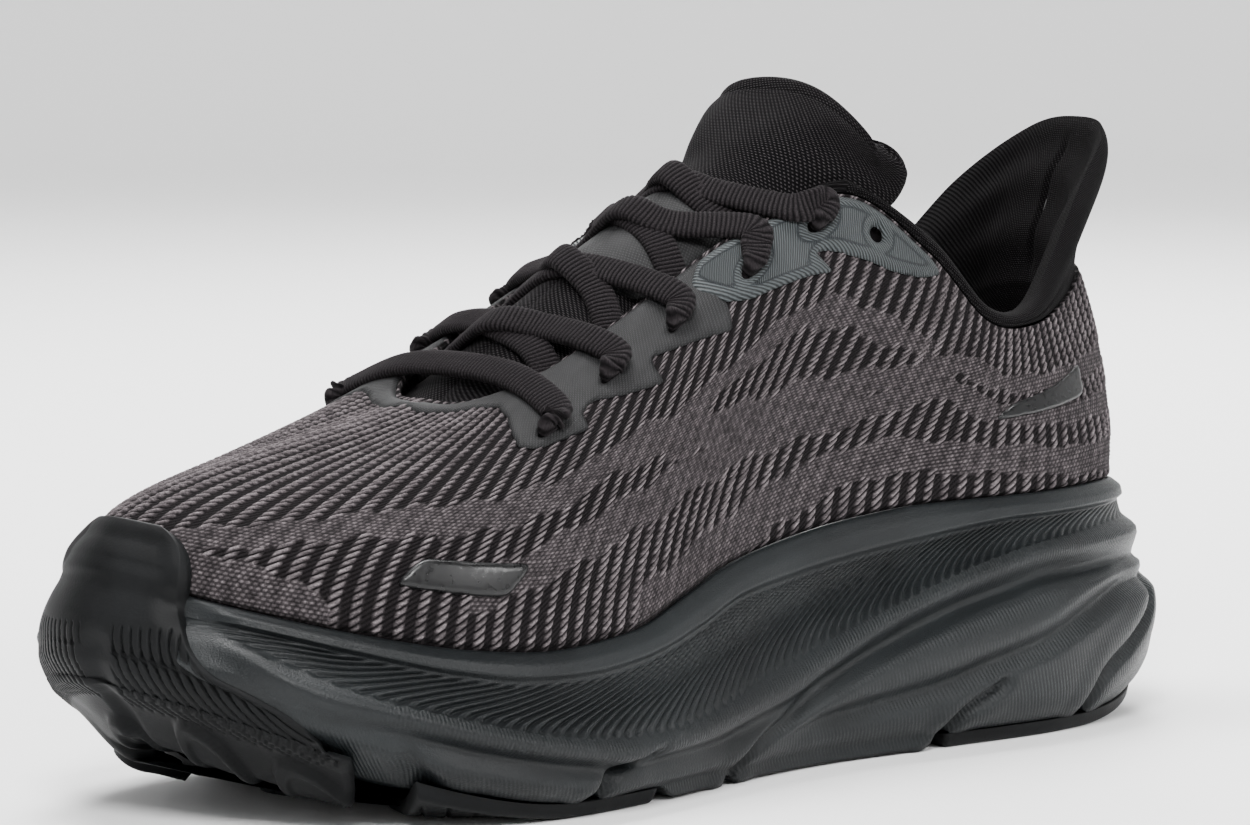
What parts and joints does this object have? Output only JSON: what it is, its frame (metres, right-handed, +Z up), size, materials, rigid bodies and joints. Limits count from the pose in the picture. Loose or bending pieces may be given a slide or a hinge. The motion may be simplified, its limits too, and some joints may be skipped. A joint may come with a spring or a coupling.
{
  "type": "running shoe",
  "caption": "Low-cut knitted running shoe for the left foot, with a thick flared foam midsole, rocker toe, padded collar with a raised heel tab, and criss-cross lacing.",
  "frame": {"origin": "middle of the shoe's bounding box, on the ground plane that the outsole stands on", "axes": "+Z up, +X towards the heel and -X towards the toe, -Y the outer (lateral) side and +Y the inner (medial) side of the left shoe"},
  "size_m": [0.299, 0.1126, 0.1515],
  "materials": {
    "foam": "satin moulded foam, dark slate",
    "rubber": "matte moulded rubber, near black",
    "knit": "two-tone jacquard knit, near black with warm grey loops",
    "collar_fabric": "brushed knit lining, near black",
    "sockliner_fabric": "brushed fabric over foam",
    "board": "non-woven board",
    "stiffener": "moulded sheet",
    "padding_foam": "open-cell foam",
    "embroidery": "dense satin embroidery, blue-grey",
    "film": "fused film with a fine fabric print, grey",
    "gloss_film": "raised soft gloss film, black",
    "tongue_mesh": "fine knitted mesh, near black",
    "lace_webbing": "ribbed flat braid, near black"
  },
  "bodies": {
    "shoe": {"collar_cover": "collar_fabric", "collar_foam_lateral": "padding_foam", "collar_foam_medial": "padding_foam", "eyelet_patch_lateral": "embroidery", "eyelet_patch_medial": "embroidery", "eyestay_lateral": "film", "eyestay_medial": "film", "forefoot_lug_front": "rubber", "forefoot_lug_middle": "rubber", "forefoot_lug_rear": "rubber", "forefoot_mark_lateral": "gloss_film", "forefoot_mark_medial": "gloss_film", "forefoot_pad_lateral": "rubber", "forefoot_pad_medial": "rubber", "heel_counter": "stiffener", "heel_foam": "padding_foam", "heel_mark_lateral": "gloss_film", "heel_mark_medial": "gloss_film", "heel_pad_lateral": "rubber", "heel_pad_medial": "rubber", "heel_pad_rear": "rubber", "heel_tab_foam": "padding_foam", "lace": "lace_webbing", "midsole": "foam", "sockliner": "sockliner_fabric", "strobel_board": "board", "toe_bumper": "rubber", "toe_pad_lateral": "rubber", "toe_pad_medial": "rubber", "toe_pad_tip": "rubber", "toe_puff": "stiffener", "tongue_body": "tongue_mesh", "tongue_gusset_lateral": "collar_fabric", "tongue_gusset_medial": "collar_fabric", "tongue_patch": "film", "upper": "knit"},
    "tongue_top": {"tongue_top_face": "tongue_mesh", "tongue_top_padding": "padding_foam", "tongue_top_lining": "collar_fabric"}
  },
  "joints": [
    {"name": "tongue_bend", "type": "hinge", "parent": "shoe", "child": "tongue_top", "pos_m": [0.018, 0, 0.126], "axis": [0, -1, 0], "range_deg": [-5, 25], "stiffness_Nm_per_rad": 0.08}
  ]
}
